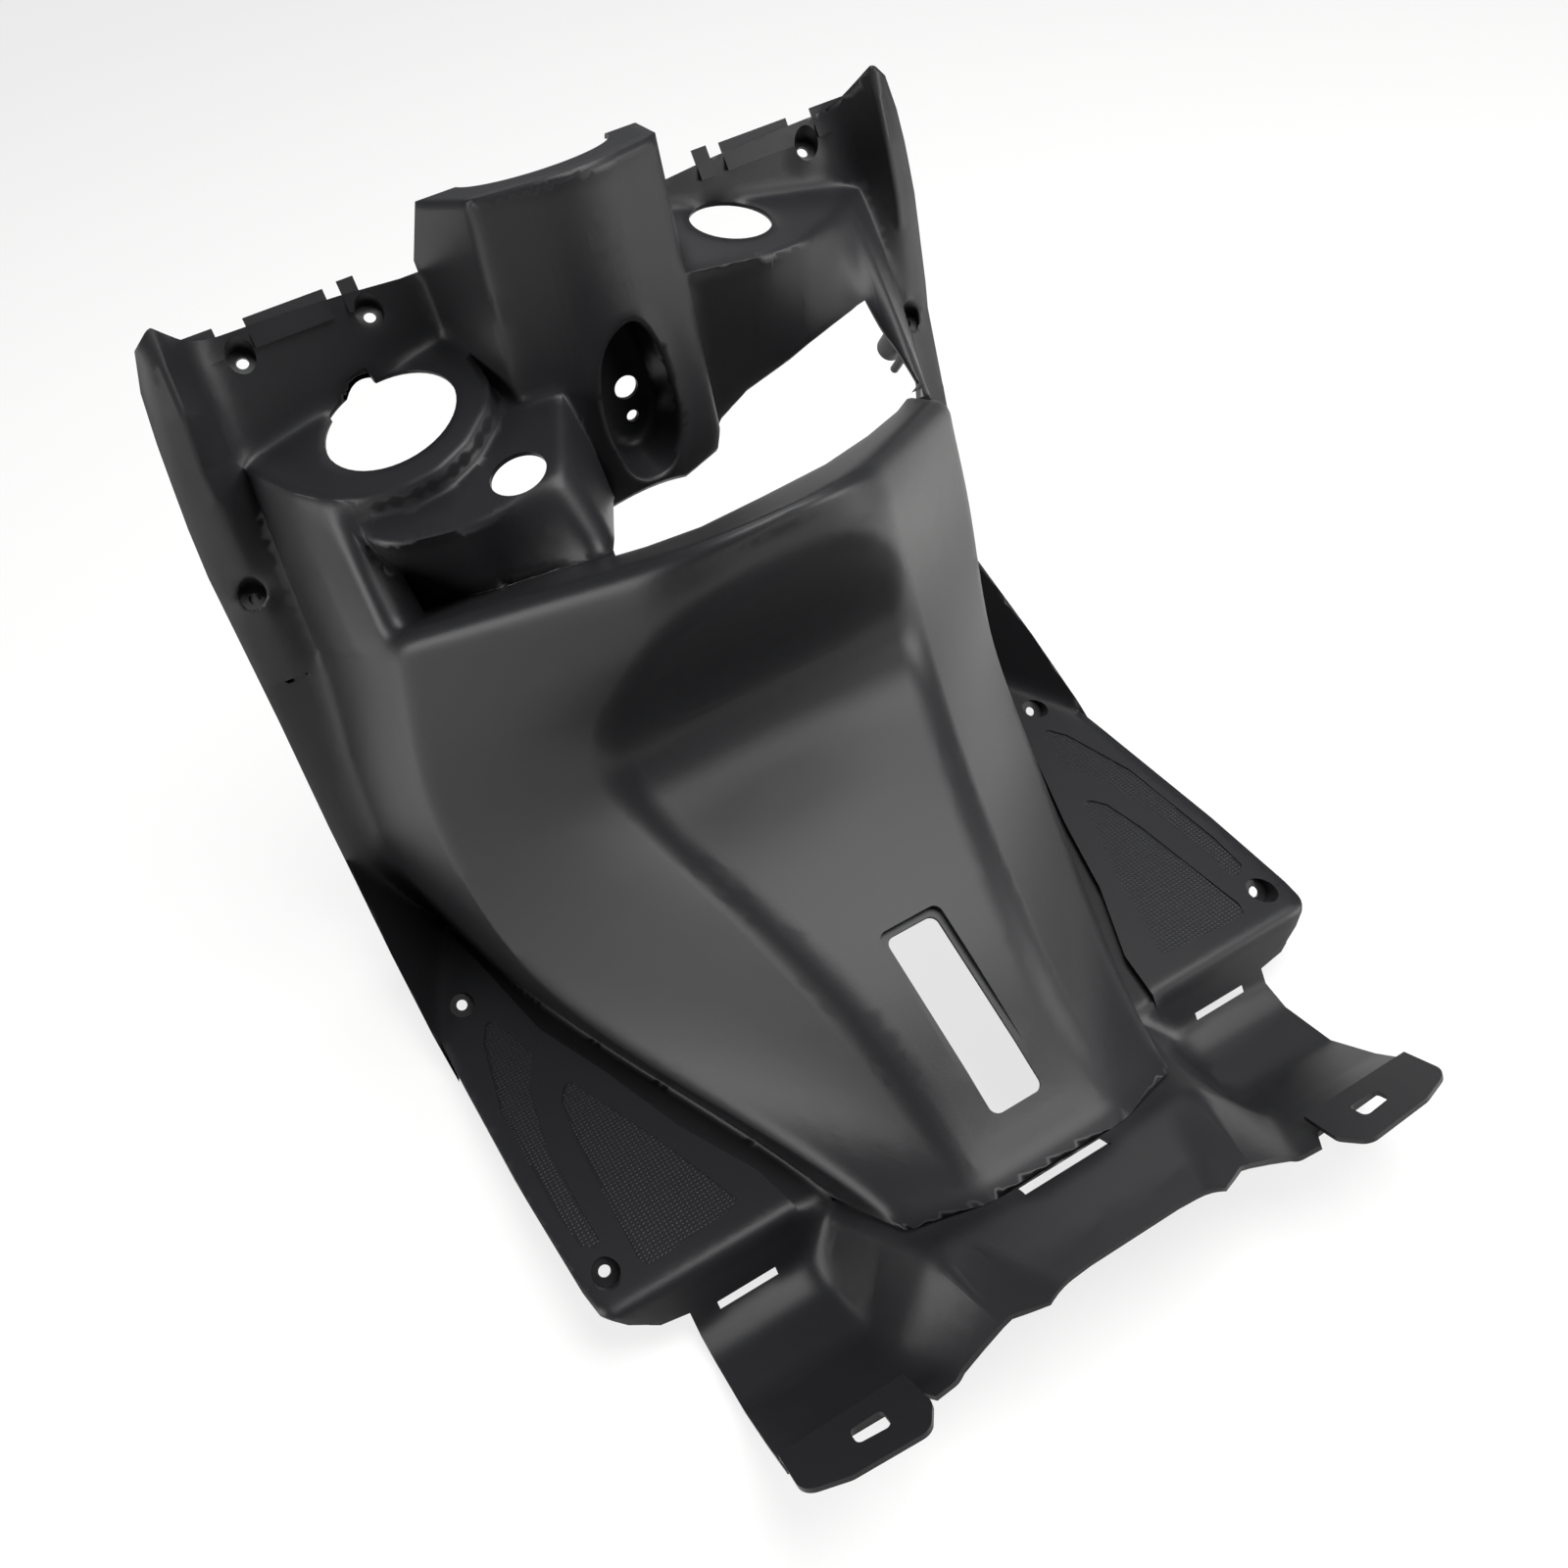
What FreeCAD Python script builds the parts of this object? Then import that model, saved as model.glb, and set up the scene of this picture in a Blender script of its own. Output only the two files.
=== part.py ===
# Rider-side inner panel of a scooter front: one thin-walled moulding in black plastic.
# The mould opens along Y, which is also the axis of every fixing screw. The rider is at -Y,
# the steering column comes out at the top (+Z) and the floor hooks are at the bottom.
# The fitted floor is tilted in that frame, so the body is drawn in floor axes
# (across, forward, up) and turned about X by FLOOR_TILT at the end.
import math
import os

import FreeCAD
import Part

Vector = FreeCAD.Vector

# Driving dimensions, mm
WALL = 2.6
FLOOR_TILT = 21.0
# Most of a side that the round of one of its corners may take up
ARC_SHARE = 0.47
BACK = 370.0
DEEP = -330.0
HIGH = 600.0
# Prisms along the draw direction start in front of the panel and end behind it
DRAW_START = -400.0
DRAW_LENGTH = 1000.0
TOWARD_RIDER = Vector(0, -1, 0)
SIDE = 262.0
# The hollow runs on past the open back of the body it is taken from
HOLLOW_REACH = 20.0
SHELF_HOLLOW_REACH = 30.0

# Leg shield: a plane leaning forward as it goes down, with a fold that rises toward the top
SHIELD_AT_FLOOR = 312.0
SHIELD_LEAN = 0.32
SHIELD_CURL = 12.0
SHIELD_EDGE_X = 232.0
# Height, fold across, how far the fold and the outer edge stand out from the plane
SHIELD_LEVELS = (
    (306.0, 213.0, 1.0, -6.4),
    (359.0, 213.0, 2.0, -8.0),
    (401.0, 211.0, 14.0, 0.0),
    (426.0, 211.0, 19.0, 6.0),
    (455.0, 207.0, 27.0, 8.0),
    (492.0, 205.0, 28.0, 9.0),
    (540.0, 200.0, 30.0, 12.0),
)
DISH_X = 187.0
DISH_R = 24.0
FOLD_R = 3.2

# Knee bulge: (height, crease across, crease forward, corner across, corner forward, foot across)
BULGE_LEVELS = (
    (-15.0, 40.0, -94.0, 80.0, -78.0, 184.0),
    (30.0, 45.0, -58.0, 117.0, 20.0, 188.0),
    (94.0, 58.0, -14.0, 166.0, 130.0, 196.0),
    (160.0, 80.0, 43.0, 181.0, 163.0, 209.0),
    (215.0, 94.0, 70.0, 182.0, 148.0, 211.0),
    (268.0, 72.0, 12.0, 175.0, 118.0, 204.0),
    (320.0, 39.0, -52.0, 165.0, 87.0, 197.0),
)
ROOF_EDGE_R = 11.0
ROOF_EDGE_TURNS = (0.0, 25.0, 50.0, 75.0, 90.0)
BULGE_LIP = 8.0
BULGE_SKIRT_BOTTOM = -46.0
CORNER_R = 9.0
FOOT_R = 16.0
CREASE_R = 34.0
NOSE_R = 76.0
NOSE_FROM = 300.0

# Foot platforms
PLATFORM_SLOPE = 0.44
PLATFORM_FRONT = -21.0
PLATFORM_REACH = 282.0
PLATFORM_RIM = 14.0
PLATFORM_INNER = ((114.0, -21.0), (120.0, 8.0), (142.0, 54.0), (160.0, 107.0), (180.0, 157.0),
                  (203.0, 291.0))
PLATFORM_OUTER = ((222.0, -21.0), (228.5, -4.0), (231.0, 80.0), (233.0, 160.0), (234.5, 291.0))
# Plane through these points, as (across, forward, height), leads the shield's edge to the platform's
GUSSET_CORNERS = ((197.0, 276.0, 121.5), (235.5, 178.0, 78.3), (236.0, 254.0, 182.0))
GUSSET_TOP = 215.0
BELOW_FROM = 215.0
GROOVE_DEPTH = 6.0
GROOVE_INNER_X = 84.0
FRONT_WALL_BOTTOM = -46.0

# Skirt over the floor board: (forward, hump across, hump height, shoulder across, shoulder height,
# foot across, foot height, plate height)
SKIRT_LEVELS = (
    (-12.0, 80.0, -18.0, 103.0, -20.0, 120.0, -34.0, -35.0),
    (-32.0, 76.0, -18.0, 98.0, -20.0, 118.0, -52.0, -54.0),
    (-65.0, 70.0, -17.0, 88.0, -18.0, 114.0, -61.0, -64.0),
    (-100.0, 62.0, -15.0, 79.0, -16.0, 113.0, -56.0, -58.0),
    (-133.0, 50.0, -25.0, 73.0, -34.0, 101.0, -52.0, -44.0),
    (-178.0, 30.0, -34.0, 63.0, -54.0, 96.0, -56.0, -28.0),
)

# Shelves beside the column: lean of the plates and their distance from the floor origin
PLATE_ELEVATION = 56.0
PLATE_YAW = 10.5
PLATE_1 = 283.0
PLATE_2 = 270.5
PLATE_3 = 304.0
PLATE_1_DEPTH = 130.0
PLATE_1_EDGE = (
    (-190.0, 168.0), (-177.0, 140.0), (-166.0, 124.0), (-150.0, 108.0), (-130.0, 98.0), (-110.0, 94.0),
    (-90.0, 98.0), (-71.0, 110.0), (-62.5, 126.0), (-61.0, 161.0),
)
SHELF_2_TOP = ((-26.0, 120.0), (-52.0, 75.0), (-61.0, 66.0), (-106.0, 71.0), (-155.0, 96.0))
SHELF_2_FOOT = ((-22.0, 131.0), (-47.0, 62.0), (-58.0, 52.0), (-101.0, 101.0), (-153.0, 179.0))
SHELF_3_TOP = ((211.0, 180.0), (176.0, 148.0), (157.0, 134.0), (130.0, 118.0), (102.0, 109.0),
               (45.0, 101.0))
SHELF_3_FOOT = ((213.0, 205.0), (179.0, 134.0), (160.0, 165.0), (130.0, 190.0), (100.0, 205.0),
                (45.0, 219.0))
RIGHT_FLANK_HEAD = ((150.0, 150.0), (179.0, 136.0), (213.0, 207.0), (213.0, 240.0), (150.0, 240.0))
RIGHT_FLANK_FOOT = ((150.0, 160.0), (177.0, 150.0), (204.0, 238.0), (204.0, 241.0), (150.0, 241.0))
RIGHT_FLANK_BOTTOM = 232.0
FLANK_TOP = ((-190.0, 169.0), (-177.0, 141.0), (-163.0, 121.0), (-150.0, 113.0), (-145.0, 240.0),
             (-195.0, 240.0))
FLANK_FOOT = ((-197.0, 209.0), (-181.0, 137.0), (-163.0, 93.0), (-142.0, 125.0), (-145.0, 240.0),
              (-199.0, 240.0))
SHELF_BACK = 240.0
SHELF_FOOT_HEIGHT = 317.0
SHELF_ROOT_HEIGHT = 300.0
SHELF_ROOT_INSET = 6.0

# Steering column cover, leaning toward the rider; sections are (across, back) square to its axis
COLUMN_LEAN = 29.0
COLUMN_BOTTOM = 190.0
COLUMN_TOP = 440.0
COLUMN_TOP_SECTION = ((0.0, 275.5), (49.0, 299.0), (85.0, 470.0))
COLUMN_BOTTOM_SECTION = ((0.0, 275.5), (56.0, 296.0), (90.0, 470.0))
COLUMN_RIDGE_R = 60.0
COLUMN_EDGE_R = 6.0
# Its closed top slopes up toward the back and has a round cut for the handlebar stem
RIM_SLOPE = 0.25
RIM_AT_ORIGIN = 478.0
RIM_BACK = 122.0
STEM_CUT_R = 42.0
STEM_CUT_AT = (2.0, 124.0)

# Lock pocket in the column: its mouth as (across, along), its depths and its two bores
POCKET_OUTLINE = (
    (1.0, 230.0), (16.0, 231.0), (27.0, 247.0), (29.0, 270.0), (26.0, 292.0), (20.0, 312.0), (10.0, 322.0),
    (-3.0, 317.0), (-12.0, 300.0), (-15.0, 270.0), (-11.0, 246.0),
)
POCKET_MOUTH = 284.0
POCKET_DRAFT = 0.16
LOCK_X = 11.0
POCKET_FLOOR = 314.0
LOCK_HOLE_R = 6.9
LOCK_HOLE_ALONG = 268.0
LOCK_PIN_R = 3.5
LOCK_PIN_ALONG = 250.0

# Outline seen along the draw direction: (across, up)
OUTLINE_TOP = ((78.0, 505.0), (111.0, 507.0), (141.0, 508.0), (177.0, 508.5), (204.0, 508.5),
               (215.0, 505.0))
OUTLINE_EDGE = (
    (221.0, 492.0), (225.0, 473.0), (230.0, 441.0), (232.0, 421.0), (233.0, 348.0), (235.0, 286.0),
    (236.0, 200.0), (235.6, 146.0), (232.0, 65.0), (226.5, -2.0), (224.0, -14.0),
)
OUTLINE_BOTTOM = ((214.0, -25.0), (200.0, -34.0), (184.5, -36.5), (184.5, -140.0))
# Front edge of the skirt, seen from above in floor axes: (across, forward)
SKIRT_EDGE = ((184.5, -133.0), (117.0, -133.0), (112.0, -141.0), (95.0, -138.0), (66.0, -142.0),
              (50.0, -152.0), (25.0, -150.0))

# Main opening, seen along the draw direction: (across, up)
OPENING = (
    (-57.0, 312.0), (-45.0, 307.0), (-20.0, 302.0), (17.0, 305.0), (60.0, 310.0), (102.0, 322.0),
    (144.0, 338.0), (180.0, 356.0), (166.0, 409.0), (151.0, 406.0), (114.0, 399.0), (87.0, 396.0),
    (70.0, 391.0), (56.0, 379.0), (50.0, 368.0), (25.0, 360.0), (-24.0, 360.0),
)

# Round holes through the plates: (across, forward, height, radius)
HOLE_1 = (-115.0, 142.0, 417.0, 37.0)
HOLE_2 = (-76.0, 83.0, 370.0, 15.1)
HOLE_3 = (103.0, 146.0, 448.0, 23.1)
HOLE_CUT_LENGTH = 16.0

# Screws: (across, depth of the cup floor, up) in the draw frame
SCREW_HOLE_R = 3.25
SCREW_HEAD_R = 7.5
CUP_WALL = 2.2
CUP_LENGTH = 40.0
LOWER_CUP_FLOOR = 9.0
SCREWS = (
    (168.6, -10.0, 498.7), (-168.6, -10.0, 498.7), (-99.0, -12.0, 497.0),
    (214.9, 66.0, 405.9), (-214.9, 66.0, 405.9),
    (212.4, 164.0, 154.2), (-212.4, 164.0, 154.2),
    (212.0, LOWER_CUP_FLOOR, 0.0), (-212.0, LOWER_CUP_FLOOR, 0.0),
)

# The origin of the finished panel lies half-way through the cup floors of the two lower screws
ORIGIN_DEPTH = LOWER_CUP_FLOOR + CUP_WALL / 2.0

# Posts behind the shield: (across, start, up, radius, tip)
REAR_POSTS = (
    (214.9, 66.0, 405.9, 8.6, 101.0), (-214.9, 66.0, 405.9, 8.6, 101.0),
    (210.0, 67.0, 391.5, 2.8, 99.0), (-210.0, 67.0, 391.5, 2.8, 99.0),
)

# Window in the front facet and slots at its foot
WINDOW_HALF_WIDTH = 18.5
WINDOW_TOP = (-9.0, 96.0)
WINDOW_FOOT = (-76.0, 9.0)
WINDOW_RECESS = 1.3
WINDOW_FRAME = 3.5
WINDOW_R = 5.0
SLOT_HALF_WIDTH = 25.0
SLOT_UP = (-52.0, -48.5)
SIDE_SLOT_X = (136.0, 170.0)
SIDE_SLOT_UP = (-43.5, -39.0)

# Tread pads sunk into the platforms, as (across, forward) corners
PAD_DEPTH = 0.9
OUTER_PAD = ((202.0, 186.0), (190.0, 143.0), (201.0, 123.0), (208.0, 84.0), (208.0, 37.0), (207.0, 14.0),
             (217.0, 20.0), (220.0, 45.0), (221.0, 119.0), (212.0, 167.0))
INNER_PAD = ((181.0, 118.0), (153.0, 48.0), (136.0, -3.0), (192.0, -8.0), (195.0, 0.0), (193.0, 77.0),
             (190.0, 104.0))

# Hooks and tabs
HOOK_HEIGHT = -46.0
HOOK_PLAN = ((184.0, -124.0), (118.0, -124.0), (116.0, -149.0), (124.0, -163.0), (163.0, -160.0),
             (184.0, -152.0))
HOOK_SLOT = ((153.0, -136.0), (136.0, -136.0), (136.0, -148.0), (153.0, -146.0))
OUTLINE_TOP_HEIGHT = 485.0
TOP_TABS = ((176.0, 202.0, 4.0), (117.0, 160.0, 3.5), (100.0, 109.0, 4.5))
KEY_TURN = 0.31
KEY_DEPTH = 2.5
KEY_HALF_WIDTH = 16.0


def turned(shape):
    shape.rotate(Vector(0, 0, 0), Vector(1, 0, 0), FLOOR_TILT)
    return shape


def inset_polygon(points, distance):
    """Move every side of a closed polygon inward; the polygon runs anticlockwise."""
    count = len(points)
    result = []
    for i in range(count):
        before = points[i - 1]
        here = points[i]
        after = points[(i + 1) % count]
        d1 = (here[0] - before[0], here[1] - before[1])
        d2 = (after[0] - here[0], after[1] - here[1])
        l1 = math.hypot(*d1)
        l2 = math.hypot(*d2)
        n1 = (-d1[1] / l1, d1[0] / l1)
        n2 = (-d2[1] / l2, d2[0] / l2)
        k = 1.0 + n1[0] * n2[0] + n1[1] * n2[1]
        result.append((here[0] + distance * (n1[0] + n2[0]) / k, here[1] + distance * (n1[1] + n2[1]) / k))
    return result


def rounded_wire(points, radii):
    """Closed wire through 3D points with a tangent arc at every corner that has a radius."""
    count = len(points)
    edges = []
    previous = None
    first = None
    for i in range(count):
        here = points[i]
        radius = radii[i]
        if radius > 0:
            back = (points[i - 1] - here).normalize()
            ahead = (points[(i + 1) % count] - here).normalize()
            half = back.getAngle(ahead) / 2.0
            reach = min(radius / math.tan(half), ARC_SHARE * (points[i - 1] - here).Length,
                        ARC_SHARE * (points[(i + 1) % count] - here).Length)
            radius = reach * math.tan(half)
            start = here + back * reach
            end = here + ahead * reach
            centre_way = (back + ahead).normalize()
            middle = here + centre_way * (radius / math.sin(half) - radius)
            arc = Part.Arc(start, middle, end).toShape()
        else:
            start = here
            end = here
            arc = None
        if previous is None:
            first = start
        else:
            edges.append(Part.LineSegment(previous, start).toShape())
        if arc is not None:
            edges.append(arc)
        previous = end
    edges.append(Part.LineSegment(previous, first).toShape())
    return Part.Wire(edges)


def flat_at(height):
    return lambda p: Vector(p[0], p[1], height)


def across_at(forward):
    return lambda p: Vector(p[0], forward, p[1])


def column_at(along):
    lean = math.radians(COLUMN_LEAN)
    return lambda p: Vector(p[0], p[1] * math.cos(lean) - along * math.sin(lean),
                            p[1] * math.sin(lean) + along * math.cos(lean))


def plate_normal(yaw):
    elevation = math.radians(PLATE_ELEVATION)
    yaw = math.radians(yaw)
    return Vector(math.sin(yaw), -math.cos(elevation) * math.cos(yaw), math.sin(elevation) * math.cos(yaw))


def plate_at(distance, yaw):
    n = plate_normal(yaw)
    return lambda p: Vector(p[0], p[1], (distance - n.x * p[0] - n.y * p[1]) / n.z)


def mirrored(half, radii):
    """Anticlockwise polygon from its right half, given front to back."""
    right = list(half)
    left = [(-x, y) for x, y in reversed(right)]
    return right + left, list(radii) + list(reversed(radii))


def loft(wires, ruled=False):
    return Part.makeLoft(wires, True, ruled)


def prism_along(points, place, radii, way):
    wire = rounded_wire([place(p) for p in points], radii)
    return Part.Face(wire).extrude(way)


def shield_forward(height):
    return SHIELD_AT_FLOOR - SHIELD_LEAN * height


def bulge_section(level, height, inset, hollow):
    crease_x, crease_w, corner_x, corner_w, foot_x = level[1:]
    plane = shield_forward(level[0])
    half = [(crease_x, crease_w), (corner_x, corner_w), (foot_x, plane), (SIDE, plane + SHIELD_CURL),
            (SIDE, BACK)]
    crease_r = NOSE_R if level[0] > NOSE_FROM else CREASE_R
    points, radii = mirrored(half, [crease_r, CORNER_R, FOOT_R, 0.0, 0.0])
    if inset:
        points = inset_polygon(points, inset)
    if hollow:
        points = [(x, y + HOLLOW_REACH * (y > BACK - 40.0)) for x, y in points]
    return rounded_wire([flat_at(height)(p) for p in points], radii)


def level_between(low, high, height):
    share = (height - low[0]) / (high[0] - low[0])
    return [a + (b - a) * share for a, b in zip(low, high)]


def bulge(inset):
    """Body of the bulge, and above it the rounded edge of its flat roof."""
    low, high = BULGE_LEVELS[-2:]
    radius = ROOF_EDGE_R - inset
    start = high[0] - ROOF_EDGE_R
    wires = [bulge_section(level, level[0], inset, inset > 0) for level in BULGE_LEVELS[:-1]]
    wires.append(bulge_section(level_between(low, high, start), start, inset, inset > 0))
    cap = []
    for turn in ROOF_EDGE_TURNS:
        height = start + radius * math.sin(math.radians(turn))
        back = inset + radius * (1.0 - math.cos(math.radians(turn)))
        cap.append(bulge_section(level_between(low, high, height), height, back, inset > 0))
    return loft(wires).fuse(loft(cap, True))


def lip_section(height, inset):
    level = BULGE_LEVELS[0]
    back = 60.0 + 100.0 * (inset > 0)
    half = [(level[1], level[2]), (level[3], level[4]), (level[3] + 26.0, 10.0), (level[3] + 26.0, back)]
    points, radii = mirrored(half, [CREASE_R, CORNER_R, 0.0, 0.0])
    points = inset_polygon(points, BULGE_LIP + inset)
    return rounded_wire([flat_at(height)(p) for p in points], radii)


def lip(inset):
    top = BULGE_LEVELS[0][0] + 3.0
    bottom = BULGE_SKIRT_BOTTOM if not inset else BULGE_SKIRT_BOTTOM - 60.0
    return loft([lip_section(bottom, inset), lip_section(top, inset)], True)


def shield_top(inset):
    wires = []
    for level in SHIELD_LEVELS:
        height, fold_x, fold_rise, edge_rise = level
        dish = shield_forward(height)
        fold_w = dish - fold_rise
        slope = (fold_rise - edge_rise) / (SHIELD_EDGE_X - fold_x)
        half = [(DISH_X, dish), (fold_x, fold_w), (SIDE, fold_w + slope * (SIDE - fold_x)), (SIDE, BACK)]
        points, radii = mirrored(half, [DISH_R, FOLD_R, 0.0, 0.0])
        points = inset_polygon(points, inset) if inset else points
        if inset:
            points = [(x, y + HOLLOW_REACH * (y > BACK - 40.0)) for x, y in points]
        wires.append(rounded_wire([flat_at(height)(p) for p in points], radii))
    return loft(wires, True)


def rim_height(forward):
    return RIM_AT_ORIGIN + RIM_SLOPE * forward


def side_profile(points):
    """Solid over the whole width from a (forward, height) outline."""
    wire = Part.makePolygon([Vector(-SIDE, w, h) for w, h in points + points[:1]])
    return Part.Face(wire).extrude(Vector(2 * SIDE, 0, 0))


def column(inset):
    wires = []
    for section, along in ((COLUMN_BOTTOM_SECTION, COLUMN_BOTTOM - 20.0 * (inset > 0)),
                           (COLUMN_TOP_SECTION, COLUMN_TOP + 15.0 * (inset > 0))):
        points, radii = mirrored(section[1:], [COLUMN_EDGE_R, 0.0])
        points = [section[0]] + points
        radii = [COLUMN_RIDGE_R] + radii
        points = inset_polygon(points, inset) if inset else points
        wires.append(rounded_wire([column_at(along)(p) for p in points], radii))
    body = loft(wires, True)
    front = -150.0
    if inset:
        drop = inset * 1.03
        return body.common(side_profile([(front, rim_height(front) - drop), (front, 100.0), (BACK, 100.0),
                                         (BACK, rim_height(BACK) - drop)]))
    # The side walls run down from the back of the rim to the top edge of the leg shield
    profile = [(front, rim_height(front)), (front, 150.0)]
    profile += [(shield_forward(h) + 2.0, h) for h in (150.0, 486.0)]
    profile += [(RIM_BACK, rim_height(RIM_BACK))]
    return body.common(side_profile(profile))


def under_platform_plane(drop, front, bottom, reach):
    """Solid below the tread plane lowered by `drop`, over the whole width."""
    slope = PLATFORM_SLOPE
    points = [(front, slope * front - drop), (front, bottom), (reach, bottom),
              (reach, slope * reach - drop)]
    return side_profile(points)


def platform_plan(inset, right):
    inner = list(PLATFORM_INNER)
    outer = list(reversed(PLATFORM_OUTER))
    if inset:
        inner[-1] = (inner[-1][0] + 13.0, BACK)
        outer[0] = (outer[0][0], BACK)
    points = [inner[0]] + list(reversed(outer)) + list(reversed(inner[1:]))
    points = inset_polygon(points, inset) if inset else points
    radii = [0.0] + [7.0] + [0.0] * (len(points) - 2)
    if not right:
        points = [(-x, y) for x, y in reversed(points)]
        radii = list(reversed(radii))
    return points, radii


def platform(right, inset):
    points, radii = platform_plan(inset, right)
    plan = prism_along(points, flat_at(DEEP), radii, Vector(0, 0, 900))
    if inset:
        return plan.common(under_platform_plane(inset * 1.09, PLATFORM_FRONT, DEEP, BACK + 10.0))
    slope = PLATFORM_SLOPE
    front = PLATFORM_FRONT
    rim = PLATFORM_RIM
    profile = [
        (front, slope * front), (front + 5.0, FRONT_WALL_BOTTOM), (front + 9.0, FRONT_WALL_BOTTOM),
        (front + 22.0, slope * (front + 22.0) - rim), (PLATFORM_REACH, slope * PLATFORM_REACH - rim),
        (PLATFORM_REACH, slope * PLATFORM_REACH),
    ]
    return plan.common(side_profile(profile))


def groove(inset):
    """Valley floor between the platforms and the bulge, with the wall closing its front."""
    front = PLATFORM_FRONT + 1.5 + inset
    side = 205.0 if not inset else 224.0
    plan = Part.makeBox(side - GROOVE_INNER_X, PLATFORM_REACH - 8.0 - front + inset * 40.0, 900,
                        Vector(GROOVE_INNER_X, front, DEEP))
    drop = GROOVE_DEPTH + inset * 1.09
    bottom = FRONT_WALL_BOTTOM if not inset else DEEP
    body = plan.common(under_platform_plane(drop, front, bottom, BACK + 10.0))
    if not inset:
        thick = under_platform_plane(drop + 6.0, front + WALL, bottom - 10.0, BACK + 20.0)
        body = body.cut(thick)
    return body.fuse(body.mirror(Vector(0, 0, 0), Vector(1, 0, 0)))


def skirt(inset):
    wires = []
    for level in SKIRT_LEVELS:
        forward, hump_x, hump_h, shoulder_x, shoulder_h, foot_x, foot_h, plate_h = level
        if inset and forward == SKIRT_LEVELS[0][0]:
            forward = forward + 10.0
        if inset and forward == SKIRT_LEVELS[-1][0]:
            forward = forward - 10.0
        drop = inset * 1.05
        half = [(SIDE, DEEP), (SIDE, plate_h - drop), (foot_x + inset * -0.6, foot_h - drop),
                (shoulder_x - inset * 0.7, shoulder_h - drop), (hump_x - inset * 0.5, hump_h - drop)]
        points = half + [(-x, y) for x, y in reversed(half)]
        radii = [0.0, 0.0, 9.0, 12.0, 30.0]
        radii = radii + list(reversed(radii))
        wires.append(rounded_wire([across_at(forward)(p) for p in points], radii))
    body = loft(wires, True)
    if inset:
        return body
    edge = [(SIDE, 0.0)] + list(SKIRT_EDGE)
    plan = edge + [(-x, w) for x, w in reversed(edge)]
    wire = Part.makePolygon([Vector(x, w, DEEP - 10.0) for x, w in plan + plan[:1]])
    return body.common(Part.Face(wire).extrude(Vector(0, 0, 400.0)))


def plate_1(inset):
    n = plate_normal(-PLATE_YAW)
    edge = list(PLATE_1_EDGE)
    points = edge + [(-66.0, 190.0), (-74.0, SHELF_BACK), (-205.0, SHELF_BACK)]
    radii = [6.0] + [12.0] * (len(edge) - 1) + [0.0, 0.0, 0.0]
    if inset:
        points = inset_polygon(points, inset)
        points = [(x, y + SHELF_HOLLOW_REACH * (y > SHELF_BACK - 10.0)) for x, y in points]
    body = prism_along(points, plate_at(PLATE_1 - inset, -PLATE_YAW), radii, n * -PLATE_1_DEPTH)
    kept = side_profile([(0.0, SHELF_FOOT_HEIGHT), (0.0, HIGH), (BACK, HIGH), (BACK, SHELF_FOOT_HEIGHT)])
    return body.common(kept)


def footed_loft(upper, foot, radii, inset):
    """Loft from an upper wire to a foot on the roof, and on into the bulge under it."""
    lower = rounded_wire([flat_at(SHELF_FOOT_HEIGHT)(p) for p in foot], radii)
    ring = inset_polygon(foot, SHELF_ROOT_INSET)
    root = rounded_wire([flat_at(SHELF_ROOT_HEIGHT)(p) for p in ring], radii)
    return loft([root, lower, upper], True)


def shelf_loft(top, foot, distance, yaw, inset, radii):
    top = list(top)
    foot = list(foot)
    direction = 1.0 if top[0][0] < top[-1][0] else -1.0
    last_x = top[-1][0]
    first_x = top[0][0]
    top = top + [(last_x, SHELF_BACK), (first_x, SHELF_BACK)]
    foot = foot + [(foot[-1][0], SHELF_BACK), (foot[0][0], SHELF_BACK)]
    radii = list(radii) + [0.0, 0.0]
    if direction < 0:
        top = list(reversed(top))
        foot = list(reversed(foot))
        radii = list(reversed(radii))
    if inset:
        top = inset_polygon(top, inset)
        foot = inset_polygon(foot, inset)
        top = [(x, y + SHELF_HOLLOW_REACH * (y > SHELF_BACK - 10.0)) for x, y in top]
        foot = [(x, y + SHELF_HOLLOW_REACH * (y > SHELF_BACK - 10.0)) for x, y in foot]
    upper = rounded_wire([plate_at(distance - inset, yaw)(p) for p in top], radii)
    return footed_loft(upper, foot, radii, inset)


def shelf_2(inset):
    return shelf_loft(SHELF_2_TOP, SHELF_2_FOOT, PLATE_2, -PLATE_YAW, inset, [0.0, 8.0, 9.0, 40.0, 30.0])


def shelf_3(inset):
    radii = [0.0, 20.0, 20.0, 30.0, 30.0, 0.0]
    return shelf_loft(SHELF_3_TOP, SHELF_3_FOOT, PLATE_3, PLATE_YAW, inset, radii)


def left_flank(inset):
    """Carries the side of the bulge up to the outer end of the left shelf."""
    top = list(FLANK_TOP)
    foot = list(FLANK_FOOT)
    if inset:
        top = inset_polygon(top, inset)
        foot = inset_polygon(foot, inset)
        top = [(x, y + SHELF_HOLLOW_REACH * (y > SHELF_BACK - 10.0)) for x, y in top]
        foot = [(x, y + SHELF_HOLLOW_REACH * (y > SHELF_BACK - 10.0)) for x, y in foot]
    radii = [0.0, 10.0, 10.0, 0.0, 0.0, 0.0]
    upper = rounded_wire([plate_at(PLATE_1 - 0.5 - inset, -PLATE_YAW)(p) for p in top], radii)
    return footed_loft(upper, foot, radii, inset)


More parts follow.
